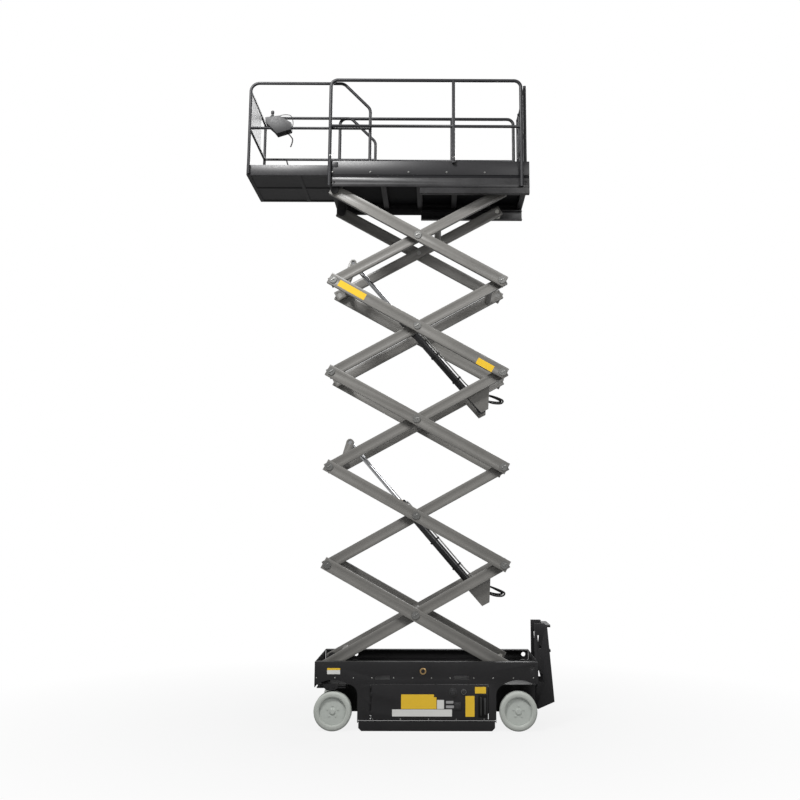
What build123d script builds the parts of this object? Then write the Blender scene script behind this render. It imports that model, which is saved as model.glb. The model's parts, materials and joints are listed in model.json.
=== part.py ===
from build123d import *
import math
import os

os.makedirs("parts", exist_ok=True)

# Scissor stack
stages = 5
arm_length = 2100.0
rest_angle = 28.784
outer_depth = 124.0
inner_depth = 108.0
arm_width = 60.0
arm_gap = 10.0
outer_face = 470.0
arm_overhang = 45.0
pin_radius = 25.0
pin_clearance = 0.05
pin_head_radius = 40.0
pin_head = 9.0
cross_tube_radius = 38.0
pivot_height = 616.0

# Lift cylinders, as places on the inner frames that carry them
base_along = 1740.0
base_below = 205.0
eye_along = 297.0
eye_above = 160.0
barrel_radius = 46.0
rod_radius = 24.0
rod_clearance = 0.05
eye_radius = 40.0
eye_width = 76.0
base_tube_radius = 28.0
eye_pin_radius = 22.0
barrel_length = 1330.0
lug_gap = 12.0
lug_thickness = 16.0
bracket_thickness = 12.0
bracket_gap = 6.0

# Chassis, along X from the fixed pivot column
chassis_front = 94.0
chassis_rear = 2163.0
chassis_half = 575.0
rail_top = 672.0
track_floor = 567.7
rail_bottom = 457.0
rail_lip = 484.0
plate = 6.0
deck_top = 430.0
box_bottom = 112.0
skin_front = 343.0
bulkhead_front = 375.0
bulkhead_rear = 1734.0
tray_front = 482.0
tray_rear = 1657.0
skin_rear = 1662.0
well_half = 400.0
arch_radius = 306.0
roller_radius = 48.0
roller_width = 54.0
roller_clearance = 2.0
ear_radius = 46.0
ear_thickness = 12.0
tie_down_radius = 22.5
tie_down_along = 2108.0
front_tie_down_along = 244.0
tie_down_height = 617.0
slot_front = 518.0
slot_rear = 1318.0
slot_length = 150.0
slot_bottom = 500.0
slot_depth = 38.0
corner_radius = 110.0
well_wall = 300.0
well_wall_bottom = 150.0

# Wheels
tyre_radius = 190.5
tyre_width = 127.0
wheel_face = 580.0
rim_radius = 140.0
tyre_sides = 60
shoulder = 18.0
front_wheel = 93.0
rear_wheel = 1964.0
kingpin_offset = 400.0
kingpin_radius = 15.0
spindle_radius = 25.0

# Swing-out trays and pothole guards
hinge_front = 475.0
hinge_half = 580.0
hinge_radius = 6.0
tray_inner = 225.0
tray_clearance = 5.0
tray_end = 1590.0
guard_hinge = 98.0
guard_bottom = 5.0
guard_thickness = 10.0
guard_tube = 7.0
guard_half = 565.0

# Ladder
ladder_half = 225.0
ladder_rear = 2365.0
ladder_top = 1021.0
ladder_bottom = 161.0

# Platform, measured up from the top pins
platform_front = 73.0
platform_rear = 2147.0
platform_room = 20.0
floor_over_pins = 148.0
floor_thickness = 6.0
member_over_pins = 84.0
beam_low = 14.0
beam_high = 116.0
toe_low = 149.0
toe_high = 309.0
rail_height = 1112.0
mid_rail_height = 555.0
tube_radius = 19.0
rail_bend = 75.0
near_post = 1309.0
hoop_front = 54.0
hoop_rear = 2060.0

# Extension deck
extension_out = 905.0
extension_length = 1385.0
extension_inset = 52.0
deck_gap = 22.0
extension_plate = 18.0
extension_toe = 105.0
extension_rail_height = 1092.0
extension_mid_height = 548.0
extension_tube = 17.0
extension_bend = 95.0

# Places that follow from the sizes above
angle = math.radians(rest_angle)
run = arm_length * math.cos(angle)
rise = arm_length * math.sin(angle)
front_reach = platform_front + extension_out
column = (front_reach - ladder_rear) / 2
inner_face = outer_face - arm_width - arm_gap
platform_half = rail_lip + roller_clearance + roller_width + platform_room
extension_half = platform_half - extension_inset
top_pin = pivot_height + stages * rise
floor = top_pin + floor_over_pins


def x_at(along):
    return column + along


def level(number):
    return pivot_height + number * rise


def inner_plane(stage, y):
    """Frame of an inner arm: X runs up it from its lower front pin."""
    start = (column, y, level(stage - 1))
    return Plane(origin=start, x_dir=(math.cos(angle), 0, math.sin(angle)), z_dir=(0, -1, 0))


def outer_plane(stage, y):
    """Frame of an outer arm: X runs down it from its upper front pin."""
    start = (column, y, level(stage))
    return Plane(origin=start, x_dir=(math.cos(angle), 0, -math.sin(angle)), z_dir=(0, -1, 0))


def write(part, name):
    part.label = name
    export_step(part, f"parts/{name}.step")


def upright(y):
    """Vertical plane across the machine at y, X along the machine and Y up."""
    return Plane(origin=(column, y, 0), x_dir=(1, 0, 0), z_dir=(0, -1, 0))


def block(x0, x1, y0, y1, z0, z1, mode=Mode.ADD):
    """A plain block between two corners, X counted from the pivot column."""
    with Locations(((x_at((x0 + x1) / 2)), (y0 + y1) / 2, (z0 + z1) / 2)):
        Box(x1 - x0, y1 - y0, z1 - z0, mode=mode)


def both_sides(x0, x1, y0, y1, z0, z1, mode=Mode.ADD):
    block(x0, x1, -y1, -y0, z0, z1, mode)
    block(x0, x1, y0, y1, z0, z1, mode)


# Inner frames: two arms and the tubes across them

cross_tubes = {1: (180, 1060), 2: (180, 1960), 3: (130, 1060), 4: (90, 1960), 5: (100, 1300)}


def inner_frame(stage):
    near = inner_plane(stage, -inner_face + arm_width)
    far = inner_plane(stage, inner_face)
    middle = inner_plane(stage, inner_face - arm_width / 2)
    span = 2 * inner_face - arm_width
    carries_base = stage in (1, 3)
    carries_eye = stage in (3, 5)
    with BuildPart() as frame:
        for side in (near, far):
            with BuildSketch(side):
                with Locations((arm_length / 2, 0)):
                    Rectangle(arm_length + 2 * arm_overhang, inner_depth)
            extrude(amount=arm_width)
        for along in cross_tubes[stage]:
            with BuildSketch(middle):
                with Locations((along, 0)):
                    Circle(cross_tube_radius)
            extrude(amount=span)
        if carries_base:
            outside = inner_face - arm_width - bracket_gap
            for y in (-outside + bracket_thickness, outside):
                with BuildSketch(inner_plane(stage, y)):
                    with BuildLine():
                        Polyline(
                            (base_along - 100, -inner_depth / 2 + 30),
                            (base_along + 190, -inner_depth / 2 + 30),
                            (base_along + 42, -base_below - 60),
                            (base_along - 44, -base_below - 58),
                            close=True,
                        )
                    make_face()
                extrude(amount=bracket_thickness)
            for y in (-outside, inner_face - arm_width):
                with BuildSketch(inner_plane(stage, y)):
                    with Locations((base_along + 45, -inner_depth / 2 + 15)):
                        Rectangle(270, 30)
                extrude(amount=bracket_gap)
            with BuildSketch(inner_plane(stage, outside)):
                with Locations((base_along, -base_below)):
                    Circle(base_tube_radius)
            extrude(amount=2 * outside)
        if carries_eye:
            root = cross_tubes[stage][0]
            lug_face = eye_width / 2 + lug_gap
            for y in (-lug_face, lug_face + lug_thickness):
                with BuildSketch(inner_plane(stage, y)):
                    with Locations((eye_along, eye_above)):
                        Circle(eye_radius)
                    with BuildLine():
                        Polyline(
                            (root - 20, -30),
                            (root + 40, -30),
                            (eye_along + 30, eye_above - 26),
                            (eye_along - 30, eye_above + 26),
                            (root - 20, 30),
                            close=True,
                        )
                    make_face()
                    with Locations((eye_along, eye_above)):
                        Circle(eye_pin_radius + pin_clearance, mode=Mode.SUBTRACT)
                extrude(amount=lug_thickness)
        with BuildSketch(inner_plane(stage, inner_face + 1)):
            with Locations((0, 0), (arm_length / 2, 0), (arm_length, 0)):
                Circle(pin_radius + pin_clearance)
        extrude(amount=arm_width + 2, mode=Mode.SUBTRACT)
        with BuildSketch(inner_plane(stage, -inner_face + arm_width + 1)):
            with Locations((0, 0), (arm_length / 2, 0), (arm_length, 0)):
                Circle(pin_radius + pin_clearance)
        extrude(amount=arm_width + 2, mode=Mode.SUBTRACT)
    return frame.part


def outer_arms(stage):
    with BuildPart() as arms:
        for y in (-outer_face + arm_width, outer_face):
            with BuildSketch(outer_plane(stage, y)):
                with Locations((arm_length / 2, 0)):
                    Rectangle(arm_length + 2 * arm_overhang, outer_depth)
                with Locations((0, 0), (arm_length / 2, 0), (arm_length, 0)):
                    Circle(pin_radius + pin_clearance, mode=Mode.SUBTRACT)
            extrude(amount=arm_width)
    return arms.part


def pin_set(stage):
    """The pins an outer arm carries: at its middle, its upper front end and its lower rear end."""
    places = [(arm_length / 2, 0)]
    if stage < stages:
        places.append((0, 0))
    if stage > 1:
        places.append((arm_length, 0))
    inside = inner_face - arm_width + 1
    with BuildPart() as pins:
        for along, above in places:
            for start, head in ((-inside, -outer_face), (outer_face, outer_face + pin_head)):
                with BuildSketch(outer_plane(stage, start)):
                    with Locations((along, above)):
                        Circle(pin_radius)
                extrude(amount=outer_face - inside)
                with BuildSketch(outer_plane(stage, head)):
                    with Locations((along, above)):
                        Circle(pin_head_radius)
                extrude(amount=pin_head)
    return pins.part


for stage in range(1, stages + 1):
    write(inner_frame(stage), f"inner_frame_{stage}")
    write(outer_arms(stage), f"outer_arms_{stage}")
    write(pin_set(stage), f"pins_{stage}")


def roller_pair(x, z, inside):
    """Two rollers on stub pins that reach from an arm to the track outside it."""
    outside = rail_lip + roller_clearance + roller_width
    with BuildPart() as rollers:
        for start in (-inside, outside):
            with BuildSketch(upright(start)):
                with Locations((x, z)):
                    Circle(pin_radius)
            extrude(amount=outside - inside)
        for start in (-outside + roller_width, outside):
            with BuildSketch(upright(start)):
                with Locations((x, z)):
                    Circle(roller_radius)
            extrude(amount=roller_width)
    return rollers.part


write(roller_pair(run, pivot_height, outer_face - arm_width), "foot_rollers")
write(roller_pair(run, top_pin, inner_face - arm_width), "head_rollers")

# Lift cylinders


def cylinder_ends(stage):
    """World places of the base pin and of the rod's eye."""
    base = inner_plane(stage, 0).from_local_coords((base_along, -base_below, 0))
    eye = inner_plane(stage + 2, 0).from_local_coords((eye_along, eye_above, 0))
    return Vector(base), Vector(eye)


def cylinder_plane(stage):
    """Frame of a cylinder: X from its base pin to its rod's eye."""
    base, eye = cylinder_ends(stage)
    return Plane(origin=base, x_dir=(eye - base).normalized(), z_dir=(0, -1, 0))


def barrel(stage):
    plane = cylinder_plane(stage)
    with BuildPart() as body:
        with BuildSketch(plane):
            with BuildLine():
                Polyline(
                    (40, 0),
                    (40, barrel_radius - 6),
                    (barrel_length - 60, barrel_radius - 6),
                    (barrel_length - 60, barrel_radius),
                    (barrel_length, barrel_radius),
                    (barrel_length, 0),
                    close=True,
                )
            make_face()
        revolve(axis=Axis(plane.origin, plane.x_dir))
        with BuildSketch(plane.offset(-eye_width / 2)):
            Circle(eye_radius + 12)
        extrude(amount=eye_width)
        with BuildSketch(plane.offset(-eye_width / 2 - 1)):
            Circle(base_tube_radius + pin_clearance)
        extrude(amount=eye_width + 2, mode=Mode.SUBTRACT)
        with BuildSketch(Plane(origin=plane.origin + plane.x_dir * 80, z_dir=plane.x_dir)):
            Circle(rod_radius + rod_clearance)
        extrude(amount=barrel_length, mode=Mode.SUBTRACT)
    return body.part


def rod(stage):
    plane = cylinder_plane(stage)
    base, eye = cylinder_ends(stage)
    length = (eye - base).length
    lug_face = eye_width / 2 + lug_gap
    with BuildPart() as body:
        with BuildSketch(Plane(origin=plane.origin + plane.x_dir * 760, z_dir=plane.x_dir)):
            Circle(rod_radius)
        extrude(amount=length - 760 - 10)
        with BuildSketch(Plane(origin=eye, x_dir=plane.x_dir, z_dir=(0, -1, 0)).offset(-eye_width / 2)):
            Circle(eye_radius)
        extrude(amount=eye_width)
        with BuildSketch(Plane(origin=eye, x_dir=plane.x_dir, z_dir=(0, -1, 0)).offset(-lug_face + 6)):
            Circle(eye_pin_radius)
        extrude(amount=2 * (lug_face - 6))
    return body.part


for name, stage in (("lower", 1), ("upper", 3)):
    write(barrel(stage), f"{name}_barrel")
    write(rod(stage), f"{name}_rod")

# Chassis: two side rails that are also roller tracks, and the box of deck, bulkheads and skins between them

side = chassis_half - plate

with BuildPart() as chassis_rails:
    both_sides(-chassis_front, chassis_rear, side, chassis_half, rail_bottom, rail_top)
    for x in (front_wheel, rear_wheel):
        with BuildSketch(upright(chassis_half + 1)):
            with Locations((x, tyre_radius)):
                Circle(arch_radius)
        extrude(amount=2 * chassis_half + 2, mode=Mode.SUBTRACT)
    both_sides(-chassis_front, chassis_rear, rail_lip, side, rail_top - plate, rail_top)
    both_sides(-chassis_front, chassis_rear, rail_lip, side, track_floor - plate, track_floor)
    for start in (-rail_lip, rail_lip + ear_thickness):
        with BuildSketch(upright(start)):
            with Locations((0, (track_floor + rail_top) / 2 - plate)):
                Rectangle(2 * ear_radius, rail_top - track_floor)
            with Locations((0, pivot_height)):
                Circle(pin_radius + pin_clearance, mode=Mode.SUBTRACT)
        extrude(amount=ear_thickness)
    for place in ((tie_down_along, -1), (tie_down_along, 1), (front_tie_down_along, 1)):
        with BuildSketch(upright(place[1] * (side + plate / 2) + plate)):
            with Locations((place[0], tie_down_height)):
                Circle(tie_down_radius)
        extrude(amount=2 * plate, mode=Mode.SUBTRACT)
    for x in (slot_front, slot_rear):
        both_sides(x, x + slot_length, side - 1, chassis_half + 1, slot_bottom, slot_bottom + slot_depth, Mode.SUBTRACT)
write(chassis_rails.part, "chassis_rails")

with BuildPart() as chassis_box:
    for x in (-chassis_front, chassis_rear - plate):
        block(x, x + plate, -side, side, deck_top - plate, track_floor - plate)
        block(x, x + plate, -rail_lip, rail_lip, track_floor - plate, rail_top)
    block(-chassis_front, chassis_rear, -well_half, well_half, deck_top - plate, deck_top)
    both_sides(bulkhead_front, bulkhead_rear, well_half, side - tray_clearance, deck_top - plate, deck_top)
    for x in (bulkhead_front, bulkhead_rear):
        block(x, x + plate, -side, side, box_bottom, deck_top)
    spine = tray_inner - 30
    both_sides(bulkhead_front, bulkhead_rear, spine, spine + plate, box_bottom, deck_top)
    block(bulkhead_front, bulkhead_rear, -spine, spine, box_bottom, box_bottom + plate)
    both_sides(skin_front, hinge_front - hinge_radius, side, chassis_half, box_bottom, rail_bottom)
    both_sides(skin_rear, bulkhead_rear + plate, side, chassis_half, box_bottom, rail_bottom)
    for x, way in ((skin_front, -1), (bulkhead_rear + plate, 1)):
        for start in (-side, chassis_half):
            with BuildSketch(upright(start)):
                with Locations((x + way * corner_radius / 2, rail_bottom - corner_radius / 2)):
                    Rectangle(corner_radius, corner_radius)
                with Locations((x + way * corner_radius, rail_bottom - corner_radius)):
                    Circle(corner_radius, mode=Mode.SUBTRACT)
            extrude(amount=plate)
    for x0, x1 in (
        (front_wheel + 47, bulkhead_front),
        (bulkhead_rear + plate, rear_wheel - 52),
        (rear_wheel + 52, chassis_rear - plate),
    ):
        both_sides(x0, x1, well_wall, well_wall + plate, well_wall_bottom, deck_top - plate)
    pin_inside = inner_face - arm_width - 18
    for start in (-pin_inside, pin_inside + ear_thickness):
        with BuildSketch(upright(start)):
            with Locations((0, pivot_height)):
                Circle(ear_radius)
            with Locations((0, (pivot_height + deck_top - plate / 2) / 2)):
                Rectangle(2 * ear_radius, pivot_height - deck_top + plate / 2)
        extrude(amount=ear_thickness)
    for start in (-pin_inside, rail_lip + ear_thickness):
        with BuildSketch(upright(start)):
            with Locations((0, pivot_height)):
                Circle(pin_radius)
        extrude(amount=rail_lip + ear_thickness - pin_inside)
    for x0 in (skin_front, bulkhead_rear):
        both_sides(x0, x0 + plate, guard_half - 15, chassis_half, guard_hinge - 14, box_bottom + 30)
    with BuildSketch(Plane.YZ.offset(x_at(skin_front - 5))):
        with Locations((-guard_half, guard_hinge), (guard_half, guard_hinge)):
            Circle(5 + pin_clearance)
    extrude(amount=bulkhead_rear + 20 - skin_front, mode=Mode.SUBTRACT)
    hinge_heights = (140, 270, 430)
    for y in (-hinge_half, hinge_half):
        with Locations((x_at(hinge_front), y, (hinge_heights[0] + hinge_heights[-1]) / 2)):
            Cylinder(hinge_radius / 2, hinge_heights[-1] - hinge_heights[0])
    for z in hinge_heights:
        for y in (-hinge_half, hinge_half):
            with Locations((x_at(hinge_front), y, z)):
                Cylinder(hinge_radius, 24)
            with Locations((x_at(hinge_front - hinge_radius), y * (chassis_half - plate / 2) / hinge_half, z)):
                Box(2 * hinge_radius, plate, 24)
write(chassis_box.part, "chassis_box")

# Swing-out trays


def tray(side):
    y_out = side * (chassis_half - plate / 2)
    with BuildPart() as body:
        with Locations((x_at((tray_front + tray_rear) / 2), y_out, (box_bottom + rail_bottom) / 2 - 2)):
            Box(tray_rear - tray_front, plate, rail_bottom - box_bottom - 4)
        depth = chassis_half - plate - tray_inner
        with Locations((x_at((tray_front + tray_end) / 2 + 10), side * (tray_inner + depth / 2), box_bottom + 12)):
            Box(tray_end - tray_front - 20, depth, 8)
        for z in (180, 360):
            with Locations((x_at(hinge_front), side * hinge_half, z)):
                Cylinder(hinge_radius, 40)
                Cylinder(hinge_radius / 2 + pin_clearance, 40, mode=Mode.SUBTRACT)
            with Locations((x_at(tray_front + 5), side * (chassis_half + 3), z)):
                Box(14, 6, 40)
    return body.part


write(tray(-1), "near_tray")
write(tray(1), "far_tray")

for name, side in (("hydraulic_unit", -1), ("battery_pack", 1)):
    with BuildPart() as heavy_block:
        block(tray_front + 60, tray_end - 60, *sorted((side * 260, side * 540)), box_bottom + 16, 400)
    write(heavy_block.part, name)


def guard(side):
    with BuildPart() as body:
        with BuildSketch(upright(side * guard_half + guard_thickness / 2)):
            with BuildLine():
                Polyline(
                    (skin_front + 12, guard_hinge),
                    (bulkhead_rear - 7, guard_hinge),
                    (bulkhead_rear - 7, guard_bottom + 30),
                    (bulkhead_rear - 37, guard_bottom),
                    (skin_front + 42, guard_bottom),
                    (skin_front + 12, guard_bottom + 30),
                    close=True,
                )
            make_face()
        extrude(amount=guard_thickness)
        with BuildSketch(Plane.YZ.offset(x_at(skin_front + 12))):
            with Locations((side * guard_half, guard_hinge)):
                Circle(guard_tube)
        extrude(amount=bulkhead_rear - 7 - skin_front - 12)
        with BuildSketch(Plane.YZ.offset(x_at(skin_front))):
            with Locations((side * guard_half, guard_hinge)):
                Circle(5)
        extrude(amount=bulkhead_rear + plate - skin_front)
    return body.part


write(guard(-1), "near_guard")
write(guard(1), "far_guard")

# Axles, knuckles and wheels

with BuildPart() as front_axle:
    block(front_wheel - 45, front_wheel + 45, -346, 346, 130, 250)
    both_sides(front_wheel - 45, front_wheel + 45, 180, 240, 250, deck_top - plate)
    for z in (84, 281):
        both_sides(front_wheel - 45, front_wheel + 45, 330, kingpin_offset, z, z + 16)
        for y in (-kingpin_offset, kingpin_offset):
            with Locations((x_at(front_wheel), y, z + 8)):
                Cylinder(36, 16)
    both_sides(front_wheel - 45, front_wheel + 45, 330, 346, 84, 297)
    for y in (-kingpin_offset, kingpin_offset):
        with Locations((x_at(front_wheel), y, 190)):
            Cylinder(kingpin_radius + pin_clearance, 230, mode=Mode.SUBTRACT)
    both_sides(front_wheel - 165, front_wheel + 125, well_wall + 10, 540, deck_top - plate - 12, deck_top - plate)
write(front_axle.part, "front_axle")

with BuildPart() as rear_axle:
    block(rear_wheel - 50, rear_wheel + 50, -420, 420, 130, 250)
    both_sides(rear_wheel - 50, rear_wheel + 50, 180, 260, 250, deck_top - plate)
    for start in (-420 + 5, 500):
        with BuildSketch(upright(start)):
            with Locations((rear_wheel, tyre_radius)):
                Circle(spindle_radius)
        extrude(amount=85)
write(rear_axle.part, "rear_axle")


def knuckle(side):
    with BuildPart() as body:
        with Locations((x_at(front_wheel), side * kingpin_offset, (100.5 + 280.5) / 2)):
            Cylinder(34, 180)
        with Locations((x_at(front_wheel), side * kingpin_offset, 190.5)):
            Cylinder(kingpin_radius, 213)
        start = 500 if side > 0 else -kingpin_offset
        with BuildSketch(upright(start)):
            with Locations((front_wheel, tyre_radius)):
                Circle(spindle_radius)
        extrude(amount=100)
    return body.part


write(knuckle(-1), "near_knuckle")
write(knuckle(1), "far_knuckle")


def tyre(x, side):
    """A solid tyre drawn with flat sides, so that its faces stay few."""
    start = -(wheel_face - tyre_width) if side < 0 else wheel_face
    with BuildPart() as body:
        with BuildSketch(upright(start)):
            with Locations((x, tyre_radius)):
                RegularPolygon(tyre_radius, tyre_sides)
        extrude(amount=tyre_width)
        rims = [e for face in body.faces().filter_by(Axis.Y) for e in face.edges()]
        chamfer(rims, shoulder)
        with BuildSketch(upright(start)):
            with Locations((x, tyre_radius)):
                Circle(rim_radius)
        extrude(amount=tyre_width, mode=Mode.SUBTRACT)
    return body.part


def wheel_disc(x, side):
    out = wheel_face - 12
    inside = wheel_face - tyre_width + 8
    rim = rim_radius - pin_clearance
    axis = Axis((x_at(x), 0, tyre_radius), (0, 1, 0))
    points = [
        (spindle_radius + pin_clearance, inside + 10),
        (60, inside + 10),
        (60, out - 42),
        (rim - 10, out - 42),
        (rim - 10, inside),
        (rim, inside),
        (rim, out - 6),
        (rim - 8, out - 14),
        (30, out - 14),
        (24, out - 4),
        (0, out - 4),
        (0, out - 60),
        (spindle_radius + pin_clearance, out - 60),
    ]
    with BuildPart() as body:
        with BuildSketch(Plane(origin=(x_at(x), 0, tyre_radius), x_dir=(0, 0, 1), z_dir=(1, 0, 0))):
            with BuildLine():
                Polyline(*[(r, -side * y) for r, y in points], close=True)
            make_face()
        revolve(axis=axis)
    return body.part


for end, x in (("front", front_wheel), ("rear", rear_wheel)):
    for word, side in (("near", -1), ("far", 1)):
        write(tyre(x, side), f"{end}_{word}_tyre")
        write(wheel_disc(x, side), f"{end}_{word}_disc")

# Ladder

with BuildPart() as ladder:
    for start in (-ladder_half + 10, ladder_half):
        with BuildSketch(upright(start)):
            with BuildLine():
                Polyline(
                    (chassis_rear, ladder_top),
                    (chassis_rear + 105, ladder_top),
                    (chassis_rear + 118, ladder_top - 16),
                    (ladder_rear - 66, ladder_top - 24),
                    (ladder_rear, ladder_bottom + 72),
                    (chassis_rear + 30, ladder_bottom),
                    (chassis_rear, ladder_bottom + 20),
                    close=True,
                )
            make_face()
            for corners in (
                ((2196, 898), (2258, 898), (2240, 768), (2206, 768)),
                ((2200, 545), (2234, 545), (2262, 428), (2200, 428)),
            ):
                with BuildLine():
                    Polyline(*corners, close=True)
                make_face(mode=Mode.SUBTRACT)
        extrude(amount=10)
    for z in (230, 480, 730, 980):
        block(chassis_rear + 100, chassis_rear + 170, -ladder_half + 5, ladder_half - 5, z, z + 25)
write(ladder.part, "ladder")

# Platform frame: side beams, cross members, ears and roller tracks

with BuildPart() as platform_frame:
    both_sides(-platform_front, platform_rear, platform_half - 8, platform_half, top_pin + beam_low, top_pin + beam_high)
    member_top = floor - floor_thickness
    both_sides(
        -platform_front,
        platform_rear,
        platform_half - 26,
        platform_half - 20,
        top_pin + beam_high - 6,
        member_top,
    )
    for x, slot_side in ((-platform_front + 40, 1), (platform_rear - 40, -1)):
        with BuildSketch(upright(platform_half + 1)):
            with Locations((x, top_pin + 62)):
                Circle(11)
            with Locations((x + slot_side * 34, top_pin + 62)):
                Rectangle(9, 26)
        extrude(amount=2 * platform_half + 2, mode=Mode.SUBTRACT)
    for x in (-platform_front, 500, 900, 1300, 1700, platform_rear - 60):
        block(x, x + 60, -platform_half + 8, platform_half - 8, top_pin + member_over_pins, member_top)
    block(-platform_front + 60, 60, -platform_half + 8, platform_half - 8, top_pin + member_over_pins, member_top)
    both_sides(940, platform_rear, platform_half - 18, platform_half - 8, top_pin - 56, top_pin + member_over_pins + 10)
    both_sides(940, platform_rear, rail_lip, platform_half - 8, top_pin - 56, top_pin - roller_radius - 0.3)
    both_sides(940, platform_rear, rail_lip, platform_half - 8, top_pin + roller_radius + 2, top_pin + roller_radius + 8)
    for start in (-392, 402, -rail_lip, rail_lip + ear_thickness):
        thickness = 10 if abs(start) < 410 else ear_thickness
        with BuildSketch(upright(start)):
            with Locations((0, top_pin)):
                Circle(ear_radius)
            with Locations((0, top_pin + member_over_pins / 2)):
                Rectangle(2 * ear_radius, member_over_pins + 2)
        extrude(amount=thickness)
    for start in (-392, rail_lip + 1):
        with BuildSketch(upright(start)):
            with Locations((0, top_pin)):
                Circle(pin_radius)
        extrude(amount=rail_lip + 1 - 392)
write(platform_frame.part, "platform_frame")

with BuildPart() as platform_floor:
    block(-platform_front, platform_rear, -platform_half + 10, platform_half - 10, floor - floor_thickness, floor)
write(platform_floor.part, "platform_floor")

with BuildPart() as toe_boards:
    both_sides(-platform_front, platform_rear, platform_half - 5, platform_half, floor + 1, top_pin + toe_high)
write(toe_boards.part, "toe_boards")

side_line = platform_half + tube_radius + 6
with BuildPart() as side_rails:
    for y in (-side_line, side_line):
        top = floor + rail_height - tube_radius
        foot = top_pin + beam_low
        with BuildLine(upright(y)) as hoop:
            FilletPolyline(
                (-hoop_front, foot),
                (-hoop_front, top),
                (hoop_rear, top),
                (hoop_rear, foot),
                radius=rail_bend,
            )
        with BuildSketch(Plane(origin=(x_at(-hoop_front), y, foot), z_dir=(0, 0, 1))):
            Circle(tube_radius)
        sweep(path=hoop.wire())
        with BuildSketch(Plane.YZ.offset(x_at(-hoop_front))):
            with Locations((y, floor + mid_rail_height)):
                Circle(tube_radius - 2)
        extrude(amount=hoop_rear + hoop_front)
        post_foot = top_pin + toe_high - 30
        with Locations((x_at(near_post), y, (post_foot + top) / 2)):
            Cylinder(tube_radius - 1, top - post_foot)
        outside = sorted((y, platform_half * y / side_line))
        for x in (-hoop_front, hoop_rear):
            block(x - 15, x + 15, *outside, foot, foot + 90)
            block(x - 15, x + 15, *outside, top_pin + toe_high - 90, top_pin + toe_high - 10)
        block(near_post - 15, near_post + 15, *outside, post_foot, top_pin + toe_high)
write(side_rails.part, "side_rails")

gate_half = 290.0
rear_line = platform_rear - 40
with BuildPart() as rear_rails:
    for side in (-1, 1):
        for y in (gate_half + 30, platform_half - 48):
            with Locations((x_at(rear_line), side * y, floor + 530)):
                Cylinder(tube_radius - 2, 1060)
        for z in (floor + 520, floor + 1040):
            with BuildSketch(Plane.XZ.offset(-side * (gate_half + 30))):
                with Locations((x_at(rear_line), z)):
                    Circle(tube_radius - 3)
            extrude(amount=-side * (platform_half - 78 - gate_half))
write(rear_rails.part, "rear_rails")

with BuildPart() as gate:
    for y in (-gate_half + 10, gate_half - 12):
        with Locations((x_at(rear_line), y, floor + 560)):
            Cylinder(tube_radius - 4, 960)
    for z in (floor + 100, floor + 520, floor + 1020):
        with BuildSketch(Plane.XZ.offset(gate_half)):
            with Locations((x_at(rear_line), z)):
                Circle(tube_radius - 5)
        extrude(amount=-2 * gate_half + 12)
    for z in (floor + 220, floor + 820):
        with BuildSketch(Plane.XY.offset(z)):
            with Locations((x_at(rear_line), gate_half + 30)):
                Circle(tube_radius + 4)
            with Locations((x_at(rear_line), gate_half + 2)):
                Rectangle(14, 30)
            with Locations((x_at(rear_line), gate_half + 30)):
                Circle(tube_radius - 2 + pin_clearance, mode=Mode.SUBTRACT)
        extrude(amount=40)
write(gate.part, "gate")

# Extension deck with its own rails

extension_front = -platform_front - extension_out
extension_rear = extension_front + extension_length
extension_low = floor + deck_gap
with BuildPart() as extension_deck:
    block(extension_front, extension_rear, -extension_half, extension_half, extension_low, extension_low + extension_plate)
    both_sides(-30, extension_rear - 30, 430, 466, floor + 0.3, extension_low)
    both_sides(extension_front, extension_rear, extension_half - 40, extension_half, extension_low - 12, extension_low)
    block(extension_front, extension_rear, -20, 20, extension_low - 12, extension_low)
    for x in (extension_front, extension_front + 560, extension_rear - 40):
        block(x, x + 40, -extension_half, extension_half, extension_low - 12, extension_low)
    both_sides(extension_front, extension_rear, extension_half - 5, extension_half, extension_low, extension_low + extension_toe)
    block(extension_front, extension_front + 5, -extension_half, extension_half, extension_low, extension_low + extension_toe)
write(extension_deck.part, "extension_deck")

with BuildPart() as extension_rails:
    foot = extension_low
    top = floor + extension_rail_height - extension_tube
    line = extension_half + extension_tube + 3
    front = extension_front + extension_tube + 6
    rear = extension_rear - extension_tube - 6
    for y in (-line, line):
        with BuildLine(upright(y)) as hoop:
            FilletPolyline((front, foot), (front, top), (rear - 300, top), (rear, top - 300), (rear, foot), radius=extension_bend)
        with BuildSketch(Plane(origin=(x_at(front), y, foot), z_dir=(0, 0, 1))):
            Circle(extension_tube)
        sweep(path=hoop.wire())
        with BuildSketch(Plane.YZ.offset(x_at(front))):
            with Locations((y, floor + extension_mid_height)):
                Circle(extension_tube - 2)
        extrude(amount=rear - front)
        for x in (front, rear):
            block(x - 12, x + 12, *sorted((y, extension_half * y / line)), foot, foot + extension_toe)
    for z in (top - extension_bend, floor + extension_mid_height):
        with BuildSketch(Plane.XZ.offset(-line)):
            with Locations((x_at(front), z)):
                Circle(extension_tube - 2)
        extrude(amount=2 * line)
    block(front - 2, front + 2, -line, line * 0.4, floor + extension_mid_height, top - extension_bend)
write(extension_rails.part, "extension_rails")

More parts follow.
